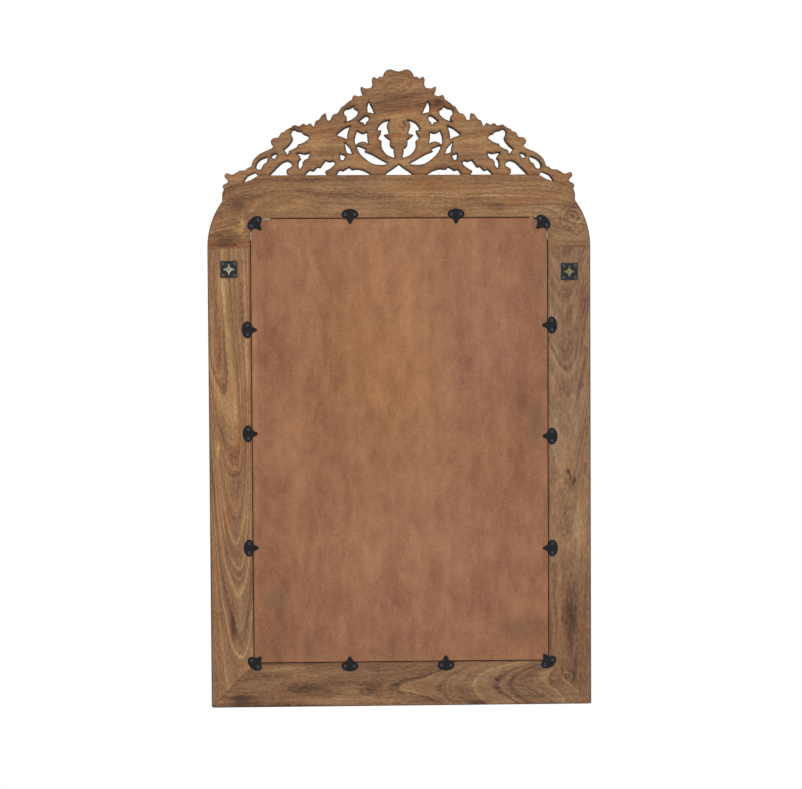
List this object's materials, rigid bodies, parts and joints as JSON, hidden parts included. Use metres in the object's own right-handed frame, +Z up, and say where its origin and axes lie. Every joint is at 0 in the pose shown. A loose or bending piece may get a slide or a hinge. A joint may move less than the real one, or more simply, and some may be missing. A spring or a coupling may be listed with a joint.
{
  "type": "carved wall mirror",
  "caption": "Tall wall mirror in a boarded wooden frame with a carved, pierced leaf crest; glass and backing board held by sprung clips, hung on keyhole plates.",
  "frame": {"origin": "middle of the flat bottom edge, half way through the depth of the frame boards", "axes": "+Z up along the mirror's height, +X to the right as seen from the front, -Y out of the glass, +Y out of the back towards the wall"},
  "size_m": [0.9144, 0.0424, 1.524],
  "materials": {
    "frame_wood": "waxed mango wood, satin",
    "crest_wood": "waxed mango wood, satin",
    "backing_board": "stained hardboard, matt",
    "mirror_glass": "silvered float glass",
    "black_steel": "black coated, satin",
    "screw_steel": "black oxide, satin"
  },
  "bodies": {
    "root": {"crest": "crest_wood", "top_rail": "frame_wood", "left_stile": "frame_wood", "right_stile": "frame_wood", "bottom_rail": "frame_wood", "mirror_glass": "mirror_glass", "backing_board": "backing_board", "clip_top_1": "black_steel", "clip_top_1_screw_a": "screw_steel", "clip_top_1_screw_b": "screw_steel", "clip_top_2": "black_steel", "clip_top_2_screw_a": "screw_steel", "clip_top_2_screw_b": "screw_steel", "clip_bottom_1": "black_steel", "clip_bottom_1_screw_a": "screw_steel", "clip_bottom_1_screw_b": "screw_steel", "clip_bottom_2": "black_steel", "clip_bottom_2_screw_a": "screw_steel", "clip_bottom_2_screw_b": "screw_steel", "clip_left_1": "black_steel", "clip_left_1_screw_a": "screw_steel", "clip_left_1_screw_b": "screw_steel", "clip_left_2": "black_steel", "clip_left_2_screw_a": "screw_steel", "clip_left_2_screw_b": "screw_steel", "clip_left_3": "black_steel", "clip_left_3_screw_a": "screw_steel", "clip_left_3_screw_b": "screw_steel", "clip_right_1": "black_steel", "clip_right_1_screw_a": "screw_steel", "clip_right_1_screw_b": "screw_steel", "clip_right_2": "black_steel", "clip_right_2_screw_a": "screw_steel", "clip_right_2_screw_b": "screw_steel", "clip_right_3": "black_steel", "clip_right_3_screw_a": "screw_steel", "clip_right_3_screw_b": "screw_steel", "clip_corner_top_right": "black_steel", "clip_corner_top_right_screw_a": "screw_steel", "clip_corner_top_right_screw_b": "screw_steel", "clip_corner_top_left": "black_steel", "clip_corner_top_left_screw_a": "screw_steel", "clip_corner_top_left_screw_b": "screw_steel", "clip_corner_bottom_left": "black_steel", "clip_corner_bottom_left_screw_a": "screw_steel", "clip_corner_bottom_left_screw_b": "screw_steel", "clip_corner_bottom_right": "black_steel", "clip_corner_bottom_right_screw_a": "screw_steel", "clip_corner_bottom_right_screw_b": "screw_steel", "hanger_plate_left": "black_steel", "hanger_left_screw_1": "screw_steel", "hanger_left_screw_2": "screw_steel", "hanger_left_screw_3": "screw_steel", "hanger_left_screw_4": "screw_steel", "hanger_plate_right": "black_steel", "hanger_right_screw_1": "screw_steel", "hanger_right_screw_2": "screw_steel", "hanger_right_screw_3": "screw_steel", "hanger_right_screw_4": "screw_steel"}
  },
  "joints": []
}
